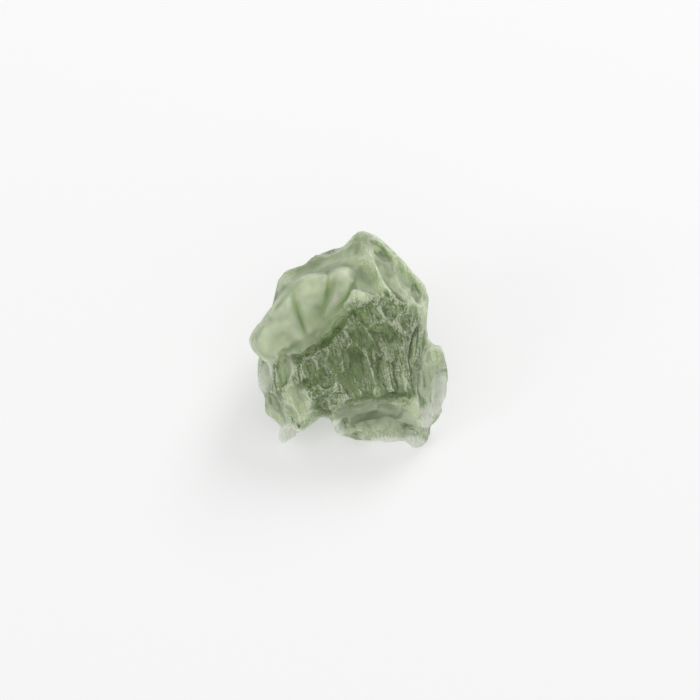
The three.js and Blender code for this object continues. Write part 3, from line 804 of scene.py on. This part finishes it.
def etchTree():
    tree = bpy.data.node_groups.new("etching", "GeometryNodeTree")
    graph = Graph(tree)
    tree.interface.new_socket("stone", in_out="INPUT", socket_type="NodeSocketGeometry")
    tree.interface.new_socket("etched", in_out="OUTPUT", socket_type="NodeSocketGeometry")
    for name in etching:
        tree.interface.new_socket(name, in_out="INPUT", socket_type="NodeSocketFloat")
    tree.interface.new_socket("glass", in_out="INPUT", socket_type="NodeSocketMaterial")
    given = graph.node("NodeGroupInput")
    value = {item.name: Wire(graph, item) for item in given.outputs if item.name}
    position = graph.add("GeometryNodeInputPosition")
    normal = graph.add("GeometryNodeInputNormal")
    smooth = graph.add("GeometryNodeInputNamedAttribute", {"data_type": "FLOAT"}, {"Name": "smooth"})
    carved = graph.add("GeometryNodeInputNamedAttribute", {"data_type": "FLOAT"}, {"Name": "carved"})

    # How deep a round cup is at each point, as a share of its full depth
    def cups(spacing, shift):
        scaled = graph.add("ShaderNodeVectorMath", {"operation": "SCALE"}, {
            0: position, "Scale": 1 / spacing})
        distance = graph.add(
            "ShaderNodeTexVoronoi", {"voronoi_dimensions": "4D"},
            {"Vector": scaled, "W": value["seed"] + shift, "Scale": 1.0})
        return 1 - distance.between(*etchFades["cup"])

    # Flutes are a noise that is drawn out along their own direction
    turned = graph.add("ShaderNodeVectorRotate", {"rotation_type": "X_AXIS"}, {
        "Vector": position, "Angle": -lean})
    slanted = graph.add("ShaderNodeVectorRotate", {"rotation_type": "Z_AXIS"}, {
        "Vector": turned, "Angle": 0 - value["flute slant"]})
    stretch = graph.add("ShaderNodeCombineXYZ", {}, {
        "X": 1 / value["flute spacing"], "Y": 1 / value["flute length"], "Z": 1 / value["flute spacing"]})
    drawn = graph.add("ShaderNodeVectorMath", {"operation": "MULTIPLY"}, {0: slanted, 1: stretch})
    flutes = graph.add("ShaderNodeTexNoise", {"noise_dimensions": "4D"}, {
        "Vector": drawn, "W": value["seed"] + 9.0, "Scale": 1.0, "Detail": 1.5})
    height = graph.add("ShaderNodeSeparateXYZ", {}, {0: position}, output="Z")
    free = height.between(*etchFades["height"])
    across = graph.add("ShaderNodeSeparateXYZ", {}, {0: position}, output="X")
    right = across.between(*etchFades["right"])
    left = etchFades["leftFlutes"]
    depth = (
        cups(value["cup spacing"], 0.0) * value["cup depth"] * (1 - smooth * etchFades["lostCups"])
        + cups(value["fine cup spacing"], 5.0) * value["fine cup depth"]
        * (1 - smooth * etchFades["lostFineCups"])
        + flutes.between(*etchFades["flute"]) * value["flute depth"] * carved * (right * (1 - left) + left)
    ) * free
    coarse = graph.add("ShaderNodeVectorMath", {"operation": "SCALE"}, {
        0: position, "Scale": 1 / value["wobble size"]})
    random = graph.add("ShaderNodeTexNoise", {"noise_dimensions": "4D"}, {
        "Vector": coarse, "W": value["seed"] + 20.0, "Scale": 1.0, "Detail": 1.0}, output="Color")
    centred = graph.add("ShaderNodeVectorMath", {"operation": "SUBTRACT"}, {
        0: random, 1: (0.5, 0.5, 0.5)})
    wobble = graph.add("ShaderNodeVectorMath", {"operation": "SCALE"}, {
        0: centred, "Scale": value["wobble"] * free * (1 - smooth * etchFades["lostWobble"])})
    etched = graph.add("ShaderNodeVectorMath", {"operation": "SCALE"}, {0: normal, "Scale": 0 - depth})
    offset = graph.add("ShaderNodeVectorMath", {"operation": "ADD"}, {0: wobble, 1: etched})
    moved = graph.add("GeometryNodeSetPosition", {}, {"Geometry": value["stone"], "Offset": offset})
    whole = graph.add("GeometryNodeRealizeInstances", {}, {"Geometry": moved})
    dressed = graph.add("GeometryNodeSetMaterial", {}, {"Geometry": whole, "Material": value["glass"]})
    graph.node("NodeGroupOutput", {}, {"etched": dressed})
    return tree


# Green glass: plain transmission with absorption, under milk where the etching frosted it
glass = {
    "absorption": (0.52, 0.645, 0.31, 1.0),
    "density": 300.0,  # per metre
    "refraction": 1.49,
    "tint": (0.96, 0.98, 0.93, 1.0),
    "clearRoughness": 0.06,
    "frostRoughness": 0.4,
    "milkRoughness": 0.6,
    "scatterDistance": 1.2 * mm,
    "scatterRadius": (1.0, 1.3, 0.8),
    "milk": (0.81, 0.91, 0.65, 1.0),
    "paintedBacklitMilk": (0.98, 1.0, 0.92, 1.0),
    "frost": (0.88, 0.95, 0.73, 1.0),  # the pale grains of the carved face
    "moss": (0.11, 0.18, 0.045, 1.0),  # between the grains
    # painted glints: rare white dots that stand in for specular glints
    "paintedGlint": (0.96, 0.97, 0.94, 1.0),
    "grain": 0.13 * mm,
    "grainHeight": 0.025 * mm,
    "streakSpacing": 0.16 * mm,
    "streakLength": 1.6 * mm,
    "facetWidth": 1.1 * mm,
    "facetLength": 2.2 * mm,
    "cloudSize": 1.3 * mm,
}

# The share of milk at the surface. The rest is clear glass.
milkShare = {
    "carved": (0.26, 0.68),  # where the carved face was etched clear, and where it was etched pale
    "deep": 0.3,  # added as moss where the carved face is clear and dark
    "smooth": 0.74,
    "shadedValley": 0.36,  # taken off where the smooth parts are hollow, which paints shade in the creases
    "pale": 0.3,  # added where the smooth parts are pale
    "clouds": 1.1,
    # paler on sharp ridges: partly worn frost, partly a painted highlight
    "edge": 0.06,
    "window": 0.45,  # part of it that the light hollows lose
    "glassyShade": 0.4,  # part of it that the glassy patches lose, which paints shade there
    "back": 0.4,  # part of it that the back and sides keep
    "thin": 0.35,  # added at thin places: painted light, standing in for light that shines through them
}

# Levels between which each pattern of the glass fades in. The first two are depths in metres.
fades = {
    "edge": (-0.06 * mm, -0.005 * mm),
    "shadedValley": (-0.15 * mm, 0.2 * mm),
    "pale": (0.1, 0.9),
    "notDeep": (0.03, 0.28),
    "speckle": (0.43, 0.57),
    "paintedGlint": (0.67, 0.7),
}

# How pale the etching is, and how densely the pale grains stand
grainRules = {
    "facets": 0.6,  # the first three make it paler, the next two darker
    "noise": 0.5,
    # edges: paler on sharp ridges, partly worn frost and partly a painted highlight
    "edges": 0.3,
    # valleys: darker in broad hollows and creases, which is painted shade
    "shadedValleys": 0.6,
    "start": 0.32,
    "streaks": 0.45,  # share of the streaks in the speckles
    "fewest": 0.35,  # share of the grains where the etching is darkest
    "lostWhereDeep": 0.5,
    "besideFace": 0.2,  # share of them off the carved face, between the speckles
    "leastFrost": 0.2,  # share of the extra roughness where the etching is darkest
    "lostInWindows": 0.6,  # part of that roughness
    "lostOnSmooth": 0.7,  # part of the grains' height
}


def makeGlass():
    material = bpy.data.materials.new("green_glass")
    material.use_nodes = True
    graph = Graph(material.node_tree)
    place = graph.add("ShaderNodeTexCoord", output="Object")

    def measured(name):
        return graph.add("ShaderNodeAttribute", {"attribute_name": name}, output="Fac")

    def mixed(share, first, second):
        return graph.add("ShaderNodeMix", {"data_type": "RGBA"}, {
            0: share, "A": first, "B": second}, output="Result")

    # Places in a pattern that is drawn out down the carved face
    def drawnOut(width, length):
        turned = graph.add("ShaderNodeVectorRotate", {"rotation_type": "X_AXIS"}, {
            "Vector": place, "Angle": -lean})
        slanted = graph.add("ShaderNodeVectorRotate", {"rotation_type": "Z_AXIS"}, {
            "Vector": turned, "Angle": -etching["flute slant"]})
        return graph.add("ShaderNodeVectorMath", {"operation": "MULTIPLY"}, {
            0: slanted, 1: (1 / width, 1 / length, 1 / width)})

    smooth, carved, etchedPale = measured("smooth"), measured("carved"), measured("pale")
    window, thin = measured("window"), measured("thin")
    # Paler on sharp ridges: partly worn frost, partly a painted highlight where the ridges catch the light
    edge = 1 - measured("hollow").between(*fades["edge"])
    # Less milk and fewer pale grains in the broad hollows and creases: painted shade
    shadedValley = measured("shadedValley").between(*fades["shadedValley"])
    grain = graph.add("ShaderNodeTexNoise", {}, {
        "Vector": place, "Scale": 1 / glass["grain"], "Detail": 3.0, "Roughness": 0.7})
    streaks = graph.add("ShaderNodeTexNoise", {}, {
        "Vector": drawnOut(glass["streakSpacing"], glass["streakLength"]), "Scale": 1.0, "Detail": 2.0})
    facet = graph.add("ShaderNodeTexVoronoi", {}, {
        "Vector": drawnOut(glass["facetWidth"], glass["facetLength"]), "Scale": 1.0}, output="Color")
    facets = graph.add("ShaderNodeSeparateColor", {}, {0: facet})
    clouds = graph.add("ShaderNodeTexNoise", {}, {
        "Vector": place, "Scale": 1 / glass["cloudSize"], "Detail": 4.0})

    pale = (
        etchedPale + facets * grainRules["facets"] + grain * grainRules["noise"]
        + edge * grainRules["edges"] - shadedValley * grainRules["shadedValleys"] - grainRules["start"]
    ).between(*fades["pale"])
    deep = carved * (1 - etchedPale.between(*fades["notDeep"]))
    speckle = (grain * (1 - grainRules["streaks"]) + streaks * grainRules["streaks"]).between(
        *fades["speckle"])
    grains = (
        speckle * (grainRules["fewest"] + (1 - grainRules["fewest"]) * pale)
        * (1 - grainRules["lostWhereDeep"] * deep)
        + grainRules["besideFace"] * (1 - carved) * (1 - speckle))
    # Painted glints: a few grains of the carved face turned white, standing in for specular glints
    paintedGlint = grain.between(*fades["paintedGlint"]) * carved
    bump = graph.add("ShaderNodeBump", {}, {
        "Height": grain * (1 - smooth * grainRules["lostOnSmooth"]) + streaks * carved,
        "Strength": 1.0, "Distance": glass["grainHeight"]})

    etchedFrost = grainRules["leastFrost"] + (1 - grainRules["leastFrost"]) * pale
    frosting = (smooth + (1 - smooth) * etchedFrost) * (1 - window * grainRules["lostInWindows"])
    extraRoughness = glass["frostRoughness"] - glass["clearRoughness"]
    clear = graph.add("ShaderNodeBsdfPrincipled", {}, {
        "Base Color": glass["tint"],
        "Roughness": glass["clearRoughness"] + frosting * extraRoughness,
        "IOR": glass["refraction"],
        "Transmission Weight": 1.0,
        "Normal": bump,
    })
    speckled = mixed(grains, glass["moss"], glass["frost"])
    # Thin places are painted nearly white, standing in for light that shines through them
    smoothMilk = mixed(thin, glass["milk"], glass["paintedBacklitMilk"])
    milk = graph.add("ShaderNodeBsdfPrincipled", {}, {
        "Base Color": mixed(paintedGlint, mixed(smooth, speckled, smoothMilk), glass["paintedGlint"]),
        "Roughness": glass["milkRoughness"],
        "Subsurface Weight": 1.0,
        "Subsurface Radius": glass["scatterRadius"],
        "Subsurface Scale": glass["scatterDistance"],
        "Normal": bump,
    })

    etchedClear, etchedWhite = milkShare["carved"]
    carvedShare = etchedClear + (etchedWhite - etchedClear) * pale + milkShare["deep"] * deep
    smoothShare = milkShare["smooth"] - milkShare["shadedValley"] * shadedValley + milkShare["pale"] * etchedPale
    # Both noises are 0.5 on average, so the clouds add as much as they take off
    smoothShare = smoothShare + (clouds + grain * 0.5 - 0.75) * milkShare["clouds"]
    share = carvedShare + smooth * (smoothShare - carvedShare) + milkShare["edge"] * edge + paintedGlint
    share = share * (1 - milkShare["window"] * window - milkShare["glassyShade"] * measured("glassyShade"))
    share = share * (milkShare["back"] + (1 - milkShare["back"]) * measured("front"))
    share = share + milkShare["thin"] * thin
    surface = graph.add("ShaderNodeMixShader", {}, {0: share, 1: clear, 2: milk})
    volume = graph.add("ShaderNodeVolumeAbsorption", {}, {
        "Color": glass["absorption"], "Density": glass["density"]})
    graph.node("ShaderNodeOutputMaterial", {}, {"Surface": surface, "Volume": volume})
    return material


greenGlass = makeGlass()
modifier = moldavite.modifiers.new("etching", "NODES")
modifier.node_group = etchTree()
for item in modifier.node_group.interface.items_tree:
    if item.in_out == "INPUT" and item.name in etching:
        modifier[item.identifier] = etching[item.name]
    if item.name == "glass":
        modifier[item.identifier] = greenGlass
etched = bpy.data.meshes.new_from_object(moldavite.evaluated_get(bpy.context.evaluated_depsgraph_get()))
moldavite.modifiers.remove(modifier)
moldavite.data = etched
etched.name = "moldavite_stone"
bpy.data.meshes.remove(mesh)


def readPoints(shape):
    points = np.empty(len(shape.vertices) * 3)
    shape.vertices.foreach_get("co", points)
    return points.reshape(-1, 3)


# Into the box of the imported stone
points = readPoints(etched)
boxLow, boxHigh = (np.array(corner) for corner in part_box("moldavite"))
netLow = points.min(axis=0)
fit = (boxHigh - boxLow) / (points.max(axis=0) - netLow)
etched.vertices.foreach_set("co", (boxLow + (points - netLow) * fit).ravel())
etched.update()
print("fitted to the packed box by", [round(float(n), 4) for n in fit])


# How far each point lies under the surface around it, which is smoothed over some rounds, in metres
def measureHollows(shape, rounds):
    points = readPoints(shape)
    count = len(points)
    normals = np.empty(count * 3)
    shape.vertex_normals.foreach_get("vector", normals)
    edges = np.empty(len(shape.edges) * 2, int)
    shape.edges.foreach_get("vertices", edges)
    ends = np.concatenate([edges.reshape(-1, 2), edges.reshape(-1, 2)[:, ::-1]])
    neighbours = np.bincount(ends[:, 0], minlength=count)[:, None]
    smoothed = points
    for _ in range(rounds):
        sums = [np.bincount(ends[:, 0], smoothed[ends[:, 1], axis], count) for axis in range(3)]
        smoothed = (smoothed + np.stack(sums, axis=1) / neighbours) / 2
    return ((smoothed - points) * normals.reshape(-1, 3)).sum(axis=1)


hollowRounds = {"hollow": 12, "shadedValley": 160}
for name, rounds in hollowRounds.items():
    hollows = measureHollows(etched, rounds)
    print(f"{name}: {hollows.min() / mm:.3f} to {hollows.max() / mm:.3f} mm under the surface around it")
    etched.attributes.new(name, "FLOAT", "POINT").data.foreach_set("value", hollows.astype(np.float32))
print("etched:", len(etched.vertices), "vertices,", [m.name for m in etched.materials])

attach(moldavite, "root")
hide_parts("moldavite")

# The floor is a plain pale plane
studio = {
    "floorSize": 1.2,
    "floorColour": (0.66, 0.66, 0.66, 1.0),
    "glow": 0.46,  # the surface is lit a little from below
    "sky": 0.43,
}
bpy.ops.mesh.primitive_plane_add(size=studio["floorSize"])
floor = bpy.context.object
floor.name = "floor"
paper = bpy.data.materials.new("pale_paper")
paper.use_nodes = True
paper.node_tree.nodes["Principled BSDF"].inputs["Base Color"].default_value = studio["floorColour"]
paper.node_tree.nodes["Principled BSDF"].inputs["Roughness"].default_value = 0.9
paper.node_tree.nodes["Principled BSDF"].inputs["Emission Color"].default_value = (1.0, 1.0, 1.0, 1.0)
paper.node_tree.nodes["Principled BSDF"].inputs["Emission Strength"].default_value = studio["glow"]
floor.data.materials.append(paper)

world = bpy.data.worlds.new("studio")
world.use_nodes = True
world.node_tree.nodes["Background"].inputs["Color"].default_value = (1.0, 1.0, 1.0, 1.0)
world.node_tree.nodes["Background"].inputs["Strength"].default_value = studio["sky"]
bpy.context.scene.world = world

# Soft boxes: azimuth from +X and elevation in degrees, distance and size in metres, watts
softBoxes = {
    "left": (197, 29, 0.5, 0.16, 0.24),
    "back": (60, 40, 0.5, 0.22, 0.9),
    "overhead": (135, 66, 0.45, 0.3, 0.05),
}
for name, (azimuth, elevation, distance, size, power) in softBoxes.items():
    lamp = bpy.data.lights.new(name, "AREA")
    lamp.energy = power
    lamp.size = size
    holder = bpy.data.objects.new(name, lamp)
    bpy.context.scene.collection.objects.link(holder)
    a, e = math.radians(azimuth), math.radians(elevation)
    towards = Vector((math.cos(a) * math.cos(e), math.sin(a) * math.cos(e), math.sin(e)))
    holder.location = towards * distance
    holder.rotation_euler = holder.location.to_track_quat("Z", "Y").to_euler()

# Camera at the photograph's angle
view = {
    "elevation": 60.0,
    "pictureWidth": 59.5 * mm,  # at the stone
    "lens": 200.0,
    "sensor": 36.0,
    "aim": (0.0, -0.85, 0.0),  # on the carved face, (u, v, w) in millimetres
}
aimPoint = Vector(boxLow + (standUp(*view["aim"]) - netLow) * fit)
camera = bpy.data.objects.new("camera", bpy.data.cameras.new("camera"))
bpy.context.scene.collection.objects.link(camera)
camera.data.lens = view["lens"]
camera.data.sensor_width = view["sensor"]
camera.data.clip_start = 0.01
up = math.radians(view["elevation"])
backwards = Vector((0, -math.cos(up), math.sin(up)))
camera.location = aimPoint + backwards * view["pictureWidth"] * view["lens"] / view["sensor"]
camera.rotation_euler = backwards.to_track_quat("Z", "Y").to_euler()
bpy.context.scene.camera = camera
bpy.context.scene.view_settings.view_transform = "Standard"
print("camera at", [round(n, 4) for n in camera.location])
